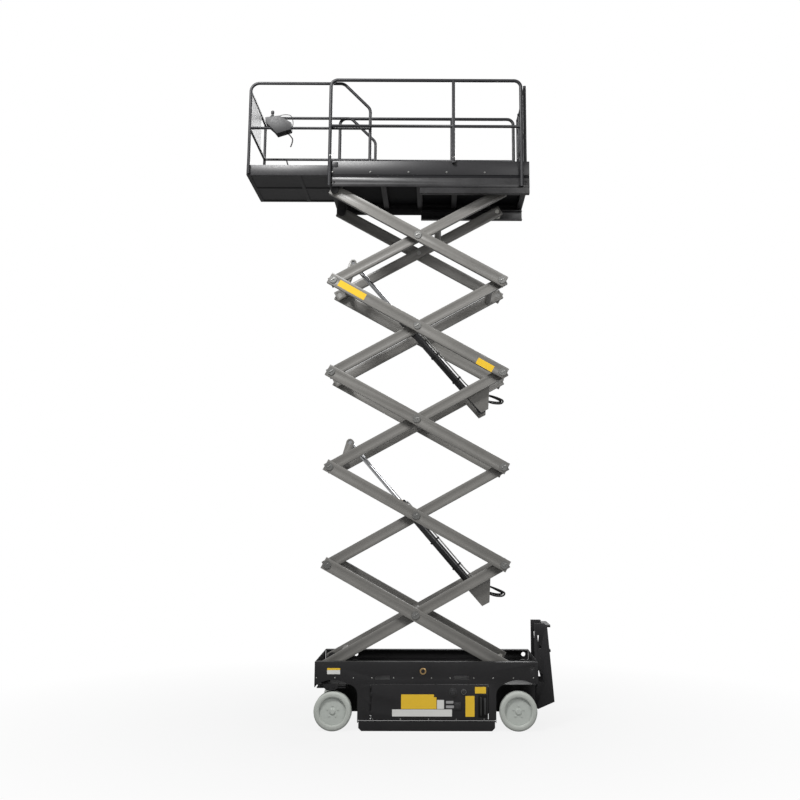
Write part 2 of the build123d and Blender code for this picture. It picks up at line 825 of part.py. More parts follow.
with BuildPart() as control_box:
    middle = floor + extension_mid_height
    with BuildSketch(upright(-line + 110)):
        with BuildLine():
            Polyline(
                (extension_front + 193, middle + 120),
                (extension_front + 350, middle + 141),
                (extension_front + 487, middle + 57),
                (extension_front + 483, middle - 17),
                (extension_front + 326, middle - 69),
                (extension_front + 284, middle - 17),
                (extension_front + 200, middle + 57),
                close=True,
            )
        make_face()
    extrude(amount=130)
    with BuildSketch(Plane.YZ.offset(x_at(extension_front))):
        with Locations((-line, middle)):
            Circle(extension_tube - 2 + 0.3)
    extrude(amount=extension_length, mode=Mode.SUBTRACT)
write(control_box.part, "control_box")
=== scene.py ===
import bmesh
import bpy
import json
import math
from mathutils import Matrix, Vector
from mathutils.bvhtree import BVHTree

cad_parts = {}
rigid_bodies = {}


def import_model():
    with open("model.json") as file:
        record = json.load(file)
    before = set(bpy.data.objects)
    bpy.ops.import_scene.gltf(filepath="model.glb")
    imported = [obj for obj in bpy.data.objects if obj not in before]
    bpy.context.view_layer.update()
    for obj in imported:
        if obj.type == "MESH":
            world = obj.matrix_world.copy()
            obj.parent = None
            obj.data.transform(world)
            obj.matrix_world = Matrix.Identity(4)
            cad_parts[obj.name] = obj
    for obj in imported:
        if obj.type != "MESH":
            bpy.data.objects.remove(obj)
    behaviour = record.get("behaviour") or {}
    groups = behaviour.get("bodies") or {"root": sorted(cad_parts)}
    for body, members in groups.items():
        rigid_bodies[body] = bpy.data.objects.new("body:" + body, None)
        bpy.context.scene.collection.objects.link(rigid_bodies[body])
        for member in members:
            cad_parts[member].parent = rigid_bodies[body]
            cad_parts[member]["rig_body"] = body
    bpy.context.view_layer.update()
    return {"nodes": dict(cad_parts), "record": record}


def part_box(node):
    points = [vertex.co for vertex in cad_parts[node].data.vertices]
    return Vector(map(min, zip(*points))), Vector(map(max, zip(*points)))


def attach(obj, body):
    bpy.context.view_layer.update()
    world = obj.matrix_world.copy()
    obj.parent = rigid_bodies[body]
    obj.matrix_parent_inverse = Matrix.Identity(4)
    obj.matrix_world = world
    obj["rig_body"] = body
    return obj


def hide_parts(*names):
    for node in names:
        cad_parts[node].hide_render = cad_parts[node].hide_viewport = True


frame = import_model()
scene = bpy.context.scene
nodes = frame["nodes"]
body_of_node = {n: o["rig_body"] for n, o in nodes.items()}
slot_of_node = {part["node"]: part["material_slot"] for part in frame["record"]["subparts"]}


# Camera, where the photographer stood

camera_place = Vector((0.4217, -11.8825, 2.0619))
camera_pitch = math.radians(10.493)
camera_yaw = math.radians(0.268)
camera_roll = math.radians(-0.129)
focal_pixels = 1073.7
picture_side = 800.0
principal_x = 440.27
principal_y = 323.42

camera_data = bpy.data.cameras.new("camera")
camera_data.sensor_width = 36.0
camera_data.lens = focal_pixels / picture_side * camera_data.sensor_width
camera_data.shift_x = (picture_side / 2 - principal_x) / picture_side
camera_data.shift_y = (principal_y - picture_side / 2) / picture_side
camera = bpy.data.objects.new("camera", camera_data)
scene.collection.objects.link(camera)
turn = (Matrix.Rotation(-camera_yaw, 3, "Z") @ Matrix.Rotation(math.pi / 2 + camera_pitch, 3, "X")
        @ Matrix.Rotation(-camera_roll, 3, "Z"))
camera.matrix_world = Matrix.Translation(camera_place) @ turn.to_4x4()
scene.camera = camera


# Small helpers for node trees

def add_node(tree, kind, **settings):
    node = tree.nodes.new(kind)
    for key, value in settings.items():
        setattr(node, key, value)
    return node


def new_material(name):
    material = bpy.data.materials.new(name)
    material.use_nodes = True
    tree = material.node_tree
    tree.nodes.clear()
    output = add_node(tree, "ShaderNodeOutputMaterial")
    return material, tree, output


def object_place(tree):
    coordinates = add_node(tree, "ShaderNodeTexCoord")
    mapping = add_node(tree, "ShaderNodeMapping")
    tree.links.new(coordinates.outputs["Object"], mapping.inputs["Vector"])
    return mapping.outputs["Vector"]


def noise(tree, place, size, detail=3.0, roughness=0.5):
    node = add_node(tree, "ShaderNodeTexNoise")
    node.inputs["Scale"].default_value = 1.0 / size
    node.inputs["Detail"].default_value = detail
    node.inputs["Roughness"].default_value = roughness
    tree.links.new(place, node.inputs["Vector"])
    return node.outputs["Fac"]


def ramp(tree, value, stops):
    node = add_node(tree, "ShaderNodeValToRGB")
    band = node.color_ramp
    band.elements[0].position, band.elements[0].color = stops[0][0], (*stops[0][1], 1)
    band.elements[1].position, band.elements[1].color = stops[-1][0], (*stops[-1][1], 1)
    for position, colour in stops[1:-1]:
        band.elements.new(position).color = (*colour, 1)
    tree.links.new(value, node.inputs["Fac"])
    return node.outputs["Color"]


def spread(tree, value, low, high):
    node = add_node(tree, "ShaderNodeMapRange")
    node.inputs["From Min"].default_value = 0.3
    node.inputs["From Max"].default_value = 0.7
    node.inputs["To Min"].default_value = low
    node.inputs["To Max"].default_value = high
    tree.links.new(value, node.inputs["Value"])
    return node.outputs["Result"]


def seen_directly(tree):
    """1 where the camera looks straight, or through glass, at a surface."""
    paths = add_node(tree, "ShaderNodeLightPath")
    seen = add_node(tree, "ShaderNodeMath", operation="MAXIMUM")
    tree.links.new(paths.outputs["Is Camera Ray"], seen.inputs[0])
    tree.links.new(paths.outputs["Is Transmission Ray"], seen.inputs[1])
    return seen.outputs[0]


def mixed_by(tree, share, first, second, output):
    mixed = add_node(tree, "ShaderNodeMixShader")
    tree.links.new(share, mixed.inputs["Fac"])
    tree.links.new(first.outputs[0], mixed.inputs[1])
    tree.links.new(second.outputs[0], mixed.inputs[2])
    tree.links.new(mixed.outputs[0], output.inputs["Surface"])


def tint(colour, amount):
    return tuple(min(1.0, part * amount) for part in colour)


def coated(name, colour, roughness, tone=0.12, grain=0.0006, grain_height=0.00004, metallic=0.0,
           gloss=0.5):
    """A painted, moulded or plated surface: slow changes of tone, a fine grain in its gloss, and its own bump."""
    material, tree, output = new_material(name)
    shader = add_node(tree, "ShaderNodeBsdfPrincipled")
    shader.inputs["Metallic"].default_value = metallic
    shader.inputs["Specular IOR Level"].default_value = gloss
    place = object_place(tree)
    slow = noise(tree, place, 0.35, 4.0, 0.6)
    marks = noise(tree, place, 0.02, 5.0, 0.65)
    mix = add_node(tree, "ShaderNodeMath", operation="MULTIPLY_ADD")
    mix.inputs[1].default_value = 0.35
    tree.links.new(marks, mix.inputs[0])
    part = add_node(tree, "ShaderNodeMath", operation="MULTIPLY")
    part.inputs[1].default_value = 0.65
    tree.links.new(slow, part.inputs[0])
    tree.links.new(part.outputs[0], mix.inputs[2])
    stops = [(0.32, tint(colour, 1 - tone)), (0.5, colour), (0.68, tint(colour, 1 + tone))]
    tree.links.new(ramp(tree, mix.outputs[0], stops), shader.inputs["Base Color"])
    tree.links.new(spread(tree, marks, roughness * 0.88, min(1.0, roughness * 1.12)), shader.inputs["Roughness"])
    fine = noise(tree, place, grain, 2.0, 0.5)
    bump = add_node(tree, "ShaderNodeBump")
    bump.inputs["Strength"].default_value = 0.5
    bump.inputs["Distance"].default_value = grain_height
    tree.links.new(fine, bump.inputs["Height"])
    tree.links.new(bump.outputs["Normal"], shader.inputs["Normal"])
    tree.links.new(shader.outputs["BSDF"], output.inputs["Surface"])
    return material


charcoal = coated("charcoal_paint", (0.014, 0.0135, 0.0145), 0.42, 0.18, 0.0025, 0.00010, gloss=0.35)
platform_paint = coated("platform_charcoal_paint", (0.016, 0.0155, 0.017), 0.40, 0.18, 0.0025, 0.00010, gloss=0.4)
# Near-black, far darker than the platform's own charcoal paint: painted shade under the platform, used on the floor
# plate and its edge strips.
deck_shade_black = coated("platform_underside_painted_shade", (0.004, 0.004, 0.005), 0.55, 0.2, 0.0025, 0.00006, gloss=0.15)
beam_paint = coated("platform_beam_paint", (0.022, 0.0215, 0.0225), 0.36, 0.55, 0.0025, 0.00006, gloss=0.45)
extension_paint = coated("extension_paint", (0.026, 0.0255, 0.027), 0.42, 0.35, 0.0025, 0.00006, gloss=0.45)
arm_grey = coated("arm_grey_paint", (0.165, 0.160, 0.150), 0.36, 0.10, 0.0025, 0.00010)
rail_black = coated("rail_black_paint", (0.020, 0.020, 0.022), 0.40, 0.08, 0.003, 0.00001, gloss=0.3)
pin_zinc = coated("zinc_plated_steel", (0.30, 0.30, 0.29), 0.40, 0.15, 0.001, 0.00004, 1.0)
chrome = coated("hard_chrome", (0.72, 0.73, 0.75), 0.10, 0.04, 0.004, 0.00001, 1.0)
brass = coated("turned_brass", (0.62, 0.42, 0.20), 0.32, 0.08, 0.001, 0.00003, 1.0)
cylinder_black = coated("cylinder_black_paint", (0.016, 0.016, 0.017), 0.28, 0.15, 0.002, 0.00006)
nylon = coated("pale_nylon", (0.55, 0.54, 0.50), 0.45, 0.06, 0.002, 0.00005)
tyre_grey = coated("pale_grey_rubber", (0.40, 0.42, 0.39), 0.72, 0.09, 0.0016, 0.00012)
disc_grey = coated("pale_grey_disc_paint", (0.43, 0.455, 0.425), 0.42, 0.08, 0.002, 0.00006)
moulded_black = coated("moulded_black_plastic", (0.022, 0.022, 0.023), 0.55, 0.12, 0.0012, 0.00008)
hose_black = coated("black_hose_rubber", (0.012, 0.012, 0.012), 0.5, 0.12, 0.0012, 0.0001, gloss=0.35)
# Near-black, darker than the moulded black: black plastic with painted shade of the door pull's recess.
recess_plastic_and_shade = coated("recess_plastic_with_painted_shade", (0.004, 0.004, 0.004), 0.7, 0.12, 0.0012, 0.00008, gloss=0.2)
battery_black = coated("battery_black_plastic", (0.03, 0.03, 0.032), 0.6, 0.12, 0.0015, 0.00008)
sign_yellow = coated("yellow_film", (0.72, 0.46, 0.025), 0.35, 0.06, 0.004, 0.00002)
sign_white = coated("white_film", (0.62, 0.62, 0.60), 0.35, 0.05, 0.004, 0.00002)
sign_grey = coated("pale_grey_film", (0.30, 0.30, 0.30), 0.4, 0.05, 0.004, 0.00002)

finish_of_slot = {
    "frame_paint": charcoal,
    "arm_paint": arm_grey,
    "rail_paint": rail_black,
    "pin_steel": pin_zinc,
    "roller_nylon": nylon,
    "rod_chrome": chrome,
    "barrel_paint": cylinder_black,
    "tyre": tyre_grey,
    "disc_paint": disc_grey,
    "box_plastic": moulded_black,
    "block_plastic": battery_black,
}

for name, node in nodes.items():
    finish = finish_of_slot.get(slot_of_node.get(name), charcoal)
    if body_of_node[name] in ("platform", "extension") and finish is charcoal:
        # The platform floor gets the near-black painted shade of its underside.
        finish = {"platform_floor": deck_shade_black, "platform_frame": beam_paint,
                  "extension_deck": extension_paint}.get(name, platform_paint)
    node.data.materials.clear()
    node.data.materials.append(finish)


# Meshes, made in the row frame, in metres

def ring_of(axis):
    axis = Vector(axis).normalized()
    side = axis.orthogonal().normalized()
    return axis, side, axis.cross(side)


class Shape:
    """One mesh that is put together from solids and ridden on one body."""

    def __init__(self):
        self.mesh = bmesh.new()

    def box(self, x0, x1, y0, y1, z0, z1, edge=0.0, turn=None):
        """A box between these places, with softened edges, turned about the origin."""
        made = bmesh.ops.create_cube(self.mesh, size=1.0)
        corners = made["verts"]
        size = Vector((x1 - x0, y1 - y0, z1 - z0))
        middle = Vector(((x0 + x1) / 2, (y0 + y1) / 2, (z0 + z1) / 2))
        for corner in corners:
            corner.co = Vector((corner.co.x * size.x, corner.co.y * size.y, corner.co.z * size.z)) + middle
        if edge:
            edges = {e for corner in corners for e in corner.link_edges}
            made = bmesh.ops.bevel(self.mesh, geom=list(edges), offset=edge, segments=2, affect="EDGES",
                                   profile=0.5)
            corners = list({v for f in made["faces"] for v in f.verts} | {v for v in corners if v.is_valid})
        if turn is not None:
            bmesh.ops.rotate(self.mesh, verts=corners, cent=Vector((0, 0, 0)), matrix=turn)
        return self

    def lathe(self, centre, axis, profile, sides=32):
        """profile is a run of (distance along the axis, radius)."""
        axis, side, other = ring_of(axis)
        centre = Vector(centre)
        rings = []
        for along, radius in profile:
            if radius < 1e-6:
                rings.append([self.mesh.verts.new(centre + axis * along)])
                continue
            rings.append([
                self.mesh.verts.new(
                    centre + axis * along
                    + (side * math.cos(math.tau * k / sides) + other * math.sin(math.tau * k / sides)) * radius)
                for k in range(sides)])
        for low, high in zip(rings, rings[1:]):
            for k in range(sides):
                n = (k + 1) % sides
                if len(low) == 1 and len(high) == 1:
                    continue
                if len(low) == 1:
                    self.mesh.faces.new((low[0], high[n], high[k]))
                elif len(high) == 1:
                    self.mesh.faces.new((low[k], low[n], high[0]))
                else:
                    self.mesh.faces.new((low[k], low[n], high[n], high[k]))
        return self

    def rod(self, start, end, radius, sides=16, edge=0.0):
        start, end = Vector(start), Vector(end)
        length = (end - start).length
        profile = [(0, 0), (0, radius - edge), (edge, radius), (length - edge, radius), (length, radius - edge),
                   (length, 0)]
        if not edge:
            profile = [(0, 0), (0, radius), (length, radius), (length, 0)]
        return self.lathe(start, end - start, profile, sides)

    def pipe(self, points, radius, sides=10, steps=6):
        """A tube along a smooth run through the points, closed at both ends."""
        points = [Vector(p) for p in points]
        run = []
        for k in range(len(points) - 1):
            before = points[max(k - 1, 0)]
            a, b = points[k], points[k + 1]
            after = points[min(k + 2, len(points) - 1)]
            for s in range(steps):
                t = s / steps
                run.append(0.5 * ((2 * a) + (b - before) * t + (2 * before - 5 * a + 4 * b - after) * t * t
                                  + (3 * a - before - 3 * b + after) * t * t * t))
        run.append(points[-1])
        rings = []
        normal = None
        for k, place in enumerate(run):
            ahead = (run[min(k + 1, len(run) - 1)] - run[max(k - 1, 0)]).normalized()
            if normal is None:
                normal = ahead.orthogonal().normalized()
            normal = (normal - ahead * normal.dot(ahead)).normalized()
            other = ahead.cross(normal)
            rings.append([
                self.mesh.verts.new(place + (normal * math.cos(math.tau * s / sides)
                                             + other * math.sin(math.tau * s / sides)) * radius)
                for s in range(sides)])
        for low, high in zip(rings, rings[1:]):
            for s in range(sides):
                n = (s + 1) % sides
                self.mesh.faces.new((low[s], low[n], high[n], high[s]))
        self.mesh.faces.new(list(reversed(rings[0])))
        self.mesh.faces.new(rings[-1])
        return self

    def outline(self, points, y_from, y_to):
        """A flat outline of (x, z) points, carried from one y to another."""
        low = [self.mesh.verts.new((x, y_from, z)) for x, z in points]
        high = [self.mesh.verts.new((x, y_to, z)) for x, z in points]
        self.mesh.faces.new(low)
        self.mesh.faces.new(list(reversed(high)))
        for k in range(len(points)):
            n = (k + 1) % len(points)
            self.mesh.faces.new((low[k], high[k], high[n], low[n]))
        return self

    def made(self, name, sharp=35.0):
        mesh = bpy.data.meshes.new(name)
        bmesh.ops.recalc_face_normals(self.mesh, faces=self.mesh.faces)
        limit = math.radians(sharp)
        for face in self.mesh.faces:
            face.smooth = True
        for edge in self.mesh.edges:
            if len(edge.link_faces) == 2 and edge.calc_face_angle(0.0) > limit:
                edge.smooth = False
        self.mesh.to_mesh(mesh)
        self.mesh.free()
        return mesh

    def ride(self, name, body, finish, sharp=35.0):
        piece = bpy.data.objects.new(name, self.made(name, sharp))
        scene.collection.objects.link(piece)
        piece.data.materials.append(finish)
        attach(piece, body)
        return piece


# Copies of one small solid, set out by a node group and then kept as a plain mesh

copies_tree = bpy.data.node_groups.new("copies", "GeometryNodeTree")
copies_tree.interface.new_socket("Geometry", in_out="INPUT", socket_type="NodeSocketGeometry")
copies_one = copies_tree.interface.new_socket("One", in_out="INPUT", socket_type="NodeSocketObject")
copies_finish = copies_tree.interface.new_socket("Finish", in_out="INPUT", socket_type="NodeSocketMaterial")
copies_tree.interface.new_socket("Geometry", in_out="OUTPUT", socket_type="NodeSocketGeometry")
inlet = add_node(copies_tree, "NodeGroupInput")
outlet = add_node(copies_tree, "NodeGroupOutput")
info = add_node(copies_tree, "GeometryNodeObjectInfo")
instances = add_node(copies_tree, "GeometryNodeInstanceOnPoints")
real = add_node(copies_tree, "GeometryNodeRealizeInstances")
coat = add_node(copies_tree, "GeometryNodeSetMaterial")
copies_tree.links.new(inlet.outputs["Geometry"], instances.inputs["Points"])
copies_tree.links.new(inlet.outputs["One"], info.inputs["Object"])
copies_tree.links.new(info.outputs["Geometry"], instances.inputs["Instance"])
copies_tree.links.new(instances.outputs["Instances"], real.inputs["Geometry"])
copies_tree.links.new(real.outputs["Geometry"], coat.inputs["Geometry"])
copies_tree.links.new(inlet.outputs["Finish"], coat.inputs["Material"])
copies_tree.links.new(coat.outputs["Geometry"], outlet.inputs["Geometry"])


def copies(name, shape, places, body, finish):
    """The shape, modelled at the origin, repeated at each place."""
    one = bpy.data.objects.new(name + "_one", shape.made(name + "_one"))
    scene.collection.objects.link(one)
    points = bpy.data.meshes.new(name + "_points")
    points.from_pydata([tuple(p) for p in places], [], [])
    holder = bpy.data.objects.new(name + "_points", points)
    scene.collection.objects.link(holder)
    modifier = holder.modifiers.new("copies", "NODES")
    modifier.node_group = copies_tree
    modifier[copies_one.identifier] = one
    modifier[copies_finish.identifier] = finish
    bpy.context.view_layer.update()
    graph = bpy.context.evaluated_depsgraph_get()
    mesh = bpy.data.meshes.new_from_object(holder.evaluated_get(graph), depsgraph=graph)
    mesh.name = name
    bpy.data.objects.remove(holder)
    bpy.data.objects.remove(one)
    piece = bpy.data.objects.new(name, mesh)
    scene.collection.objects.link(piece)
    if not mesh.materials:
        mesh.materials.append(finish)
    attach(piece, body)
    return piece


# Where the CAD's surfaces are

trees = {}


def hit(node, start, way):
    """Where a ray from start first meets a CAD node, or None."""
    if node not in trees:
        data = nodes[node].data
        data.calc_loop_triangles()
        trees[node] = BVHTree.FromPolygons([v.co.copy() for v in data.vertices],
                                           [tuple(t.vertices) for t in data.loop_triangles])
    return trees[node].ray_cast(Vector(start), Vector(way))[0]


chassis_half = 0.578


def side_face(names, x, z, side=-1, default=chassis_half):
    """The y of the outermost surface of these nodes at (x, z), seen from one side."""
    found = [hit(name, (x, side * 3.0, z), (0, -side, 0)) for name in names]
    found = [place.y for place in found if place is not None]
    if not found:
        return side * default
    return min(found) if side < 0 else max(found)


def islands(node):
    """The lowest and highest corner of each separate solid of a node."""
    data = nodes[node].data
    key = {}
    group = []
    for vertex in data.vertices:
        spot = tuple(round(c, 5) for c in vertex.co)
        group.append(key.setdefault(spot, len(key)))
    parent = list(range(len(key)))

    def top(k):
        while parent[k] != k:
            parent[k] = parent[parent[k]]
            k = parent[k]
        return k

    for polygon in data.polygons:
        first = top(group[polygon.vertices[0]])
        for v in polygon.vertices:
            parent[top(group[v])] = first
    boxes = {}
    for k, vertex in enumerate(data.vertices):
        root = top(group[k])
        low, high = boxes.setdefault(root, (vertex.co.copy(), vertex.co.copy()))
        for c in range(3):
            low[c] = min(low[c], vertex.co[c])
            high[c] = max(high[c], vertex.co[c])
    return sorted(boxes.values(), key=lambda pair: tuple(round(c, 4) for c in (*pair[0], *pair[1])))


# Softened edges on the CAD's steel, as shading modifiers that leave its meshes alone

smooth_tree = bpy.data.node_groups.new("smooth_by_angle", "GeometryNodeTree")
smooth_tree.interface.new_socket("Geometry", in_out="INPUT", socket_type="NodeSocketGeometry")
smooth_tree.interface.new_socket("Geometry", in_out="OUTPUT", socket_type="NodeSocketGeometry")
inlet = add_node(smooth_tree, "NodeGroupInput")
outlet = add_node(smooth_tree, "NodeGroupOutput")
faces = add_node(smooth_tree, "GeometryNodeSetShadeSmooth", domain="FACE")
faces.inputs["Shade Smooth"].default_value = True
edges = add_node(smooth_tree, "GeometryNodeSetShadeSmooth", domain="EDGE")
edges.inputs["Shade Smooth"].default_value = False
angle = add_node(smooth_tree, "GeometryNodeInputMeshEdgeAngle")
above = add_node(smooth_tree, "FunctionNodeCompare", data_type="FLOAT", operation="GREATER_THAN")
above.inputs[1].default_value = math.radians(32)
smooth_tree.links.new(angle.outputs["Unsigned Angle"], above.inputs[0])
smooth_tree.links.new(inlet.outputs["Geometry"], faces.inputs["Geometry"])
smooth_tree.links.new(faces.outputs["Geometry"], edges.inputs["Geometry"])
smooth_tree.links.new(above.outputs["Result"], edges.inputs["Selection"])
smooth_tree.links.new(edges.outputs["Geometry"], outlet.inputs["Geometry"])

bevelled = {
    "chassis_rails": 0.002, "chassis_box": 0.003, "near_tray": 0.002, "far_tray": 0.002, "ladder": 0.002,
    "near_guard": 0.002, "far_guard": 0.002, "toe_boards": 0.002, "platform_frame": 0.002, "extension_deck": 0.002,
    "control_box": 0.004, "battery_pack": 0.006, "hydraulic_unit": 0.003,
}
for stage in range(1, 6):
    bevelled[f"inner_frame_{stage}"] = 0.004
    bevelled[f"outer_arms_{stage}"] = 0.004

for name, node in nodes.items():
    weld = node.modifiers.new("weld", "WELD")
    weld.merge_threshold = 0.00002
    if name in bevelled:
        flat = node.modifiers.new("flat", "DECIMATE")
        flat.decimate_type = "DISSOLVE"
        flat.angle_limit = math.radians(0.8)
        soft = node.modifiers.new("soft", "BEVEL")
        soft.width = bevelled[name]
        soft.segments = 2
        soft.limit_method = "ANGLE"
        soft.angle_limit = math.radians(50)
        soft.use_clamp_overlap = True
        soft.harden_normals = False
    shade = node.modifiers.new("shade", "NODES")
    shade.node_group = smooth_tree


# Wheels: moulded-on tyres with round shoulders, hub caps, nuts and the lip of each disc

tyre_bore = 0.1405
tyre_shoulder = 0.026
nuts_per_wheel = 5
nut_circle = 0.055


def tyre(name):
    node = name + "_tyre"
    low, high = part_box(node)
    x, z = (low.x + high.x) / 2, (low.z + high.z) / 2
    radius = (high.x - low.x) / 2
    side = -1 if low.y < 0 else 1
    width = high.y - low.y
    outer = high.y if side > 0 else low.y
    bore, shoulder = tyre_bore, tyre_shoulder
    profile = [(0.006, bore - 0.004), (0.001, bore + 0.004), (0.0, bore + 0.012)]
    for k in range(9):
        a = math.pi / 2 * k / 8
        profile.append((shoulder * (1 - math.cos(a)) * 0.9 + 0.0005, radius - shoulder + shoulder * math.sin(a)))
    profile.append((width * 0.5, radius))
    shape = Shape()
    mirrored = [(width - along, r) for along, r in reversed(profile[:-1])]
    shape.lathe((x, outer, z), (0, -side, 0), profile + mirrored + [profile[0]], 96)
    piece = shape.ride(name + "_moulded_tyre", body_of_node[node], tyre_grey, 50)
    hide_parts(node)
    hub = hit(name + "_disc", (x + 0.03, side * 3.0, z), (0, -side, 0))
    face = hub.y if hub else outer - side * 0.014
    cap = Shape()
    cap.lathe((x, face, z), (0, side, 0),
              [(-0.004, 0.0), (-0.004, 0.034), (0.003, 0.034), (0.0045, 0.0325), (0.0045, 0.024), (0.009, 0.022),
               (0.0105, 0.020), (0.0105, 0.0)], 32)
    cap.ride(name + "_hub_cap", body_of_node[node], disc_grey)
    nuts = Shape()
    nuts.lathe((0, 0, 0), (0, side, 0), [(-0.002, 0), (-0.002, 0.0085), (0.0045, 0.0085), (0.0055, 0.0075),
                                         (0.0055, 0)], 6)
    turns = [math.tau * k / nuts_per_wheel + 0.3 for k in range(nuts_per_wheel)]
    spots = [(x + nut_circle * math.cos(a), face, z + nut_circle * math.sin(a)) for a in turns]
    copies(name + "_wheel_nuts", nuts, spots, body_of_node[node], disc_grey)
    bead = Shape()
    bead.lathe((x, face, z), (0, side, 0),
               [(0.0, 0.1385), (0.0008, 0.1300), (0.0030, 0.1285), (0.0035, 0.1345), (0.0022, 0.1385)], 96)
    bead.ride(name + "_disc_lip", body_of_node[node], disc_grey, 60)


for wheel in ("front_near", "front_far", "rear_near", "rear_far"):
    tyre(wheel)


# Blank signs: films on the surfaces that carry them

film_thickness = 0.0006
film_corner = 0.004


def film(name, node, x0, x1, z0, z1, finish):
    face = side_face([node], (x0 + x1) / 2, (z0 + z1) / 2)
    corner = film_corner
    shape = Shape()
    points = []
    for cx, cz, start in ((x1 - corner, z1 - corner, 0), (x0 + corner, z1 - corner, 90),
                          (x0 + corner, z0 + corner, 180), (x1 - corner, z0 + corner, 270)):
        for k in range(4):
            a = math.radians(start + 30 * k)
            points.append((cx + corner * math.cos(a), cz + corner * math.sin(a)))
    shape.outline(points, face, face - film_thickness)
    return shape.ride(name, body_of_node[node], finish)


film("rail_sign_yellow", "chassis_rails", -0.6606, -0.5289, 0.592, 0.611, sign_yellow)
film("rail_sign_white", "chassis_rails", -0.6606, -0.5289, 0.552, 0.5915, sign_white)
film("door_sign_yellow", "near_tray", 0.0891, 0.4199, 0.2181, 0.3577, sign_yellow)
film("door_sign_yellow_tab", "near_tray", 0.4199, 0.4451, 0.2184, 0.3310, sign_yellow)
film("door_strip_white", "near_tray", -0.0005, 0.6011, 0.1463, 0.2140, sign_white)
film("door_sign_white", "near_tray", 0.4505, 0.5206, 0.2186, 0.3050, sign_white)
film("door_mark_upper", "near_tray", 0.5408, 0.6150, 0.2700, 0.2955, sign_grey)
film("door_mark_lower", "near_tray", 0.5408, 0.6212, 0.2260, 0.2520, sign_grey)
film("door_sign_tall", "near_tray", 0.7365, 0.8275, 0.1444, 0.3438, sign_yellow)
film("door_sign_small", "near_tray", 0.8326, 0.9438, 0.3679, 0.4307, sign_yellow)


# Two yellow films along the near outer arm of the fourth stage, from its upper front pin

pin_run, pin_rise = 1.783, 1.011
film_half = 0.036
arm_face = 0.470
face_slack = 0.005
pin = Vector((-0.6935, 0, 4.661))
way = Vector((pin_run, 0, -pin_rise)).normalized()
over = Vector((pin_rise, 0, pin_run)).normalized() * film_half
for label, start, end in (("upper", 0.074, 0.405), ("lower", 1.800, 1.995)):
    middle = pin + way * (start + end) / 2
    face = side_face(["outer_arms_4"], middle.x, middle.z, -1, arm_face)
    if abs(face + arm_face) < face_slack:
        arm_film = Shape()
        corners = [pin + way * start - over, pin + way * end - over,
                   pin + way * end + over, pin + way * start + over]
        arm_film.outline([(c.x, c.z) for c in corners], face, face - film_thickness)
        arm_film.ride("arm_film_" + label, "outer_4", sign_yellow)


# The near door's switch, key, plug and pull

def on_door(x, z):
    return side_face(["near_tray"], x, z)


x, z = 0.6112, 0.3773
face = on_door(x, z)
switch = Shape()
switch.lathe((x, face, z), (0, -1, 0), [(-0.001, 0), (-0.001, 0.043), (0.003, 0.043), (0.0045, 0.0415),
                                        (0.0045, 0.030),
                                        (0.0060, 0.0285), (0.0160, 0.0265), (0.0185, 0.0240), (0.0185, 0)], 40)
switch.box(x - 0.0075, x + 0.0075, face - 0.0245, face - 0.017, z - 0.024, z + 0.024, 0.0025)
switch.ride("isolator_knob", "near_tray", moulded_black)
x, z = 0.7194, 0.3822
face = on_door(x, z)
key = Shape()
key.lathe((x, face, z), (0, -1, 0), [(-0.001, 0), (-0.001, 0.030), (0.003, 0.030), (0.0045, 0.0285),
                                     (0.0045, 0.018),
                                     (0.0120, 0.0165), (0.0140, 0.0140), (0.0140, 0)], 32)
key.ride("key_switch", "near_tray", moulded_black)
ring = Shape()
ring.lathe((x, face - 0.0045, z), (0, -1, 0), [(0.0, 0.0215), (0.0, 0.0250), (0.0030, 0.0245), (0.0030, 0.0215),
                                               (0.0, 0.0215)], 32)
ring.ride("key_switch_ring", "near_tray", pin_zinc)
x, z = 0.6565, 0.2476
face = on_door(x, z)
plug = Shape()
plug.box(x - 0.035, x + 0.035, face - 0.010, face + 0.001, z - 0.036, z + 0.036, 0.004)
plug.lathe((x, face - 0.010, z), (0, -1, 0), [(0, 0), (0, 0.026), (0.007, 0.025), (0.0085, 0.023), (0.0085, 0)], 28)
plug.ride("charger_inlet", "near_tray", moulded_black)
face = on_door(0.91, 0.30)
# A flat near-black plate under the pull stands for its recess: black plastic with painted shade.
pull = Shape()
pull.box(0.866, 0.954, face - 0.0016, face + 0.001, 0.136, 0.352, 0.0007)
pull.ride("door_pull_plate", "near_tray", recess_plastic_and_shade)
pull = Shape()
pull.pipe([(0.892, face, 0.330), (0.892, face - 0.020, 0.326), (0.892, face - 0.026, 0.300),
           (0.892, face - 0.026, 0.244),
           (0.892, face - 0.026, 0.188), (0.892, face - 0.020, 0.162), (0.892, face, 0.158)], 0.0065, 10)
pull.box(0.922, 0.944, face - 0.006, face, 0.165, 0.325, 0.002)
pull.ride("door_pull", "near_tray", moulded_black)


# Brass grommet in the rail, screws along the rails and the doors

x, z = 0.308, 0.581
face = side_face(["chassis_rails"], x, z)
grommet = Shape()
grommet.lathe((x, face, z), (0, -1, 0), [(0.0, 0.0330), (0.0025, 0.0325), (0.0040, 0.0300), (0.0040, 0.0200),
                                         (0.0020, 0.0185), (0.0, 0.0185)], 40)
grommet.ride("rail_grommet", "chassis", brass)
core = Shape()
core.lathe((x, face, z), (0, -1, 0), [(-0.001, 0), (-0.001, 0.0190), (0.0012, 0.0190), (0.0012, 0.0080),
                                      (0.0040, 0.0070),
                                      (0.0040, 0)], 24)
core.ride("rail_grommet_core", "chassis", charcoal)

rail_screw_x = (-0.76793, -0.58071, -0.39552, -0.20728, 0.01131, 0.20258,
                0.39384, 0.58309, 0.82091, 1.01825, 1.22065, 1.42305)
rail_screw_z = 0.515
door_screw_x = (-0.19615, 0.08316, 0.36551, 0.64381, 0.92312)
door_screw_z = 0.120

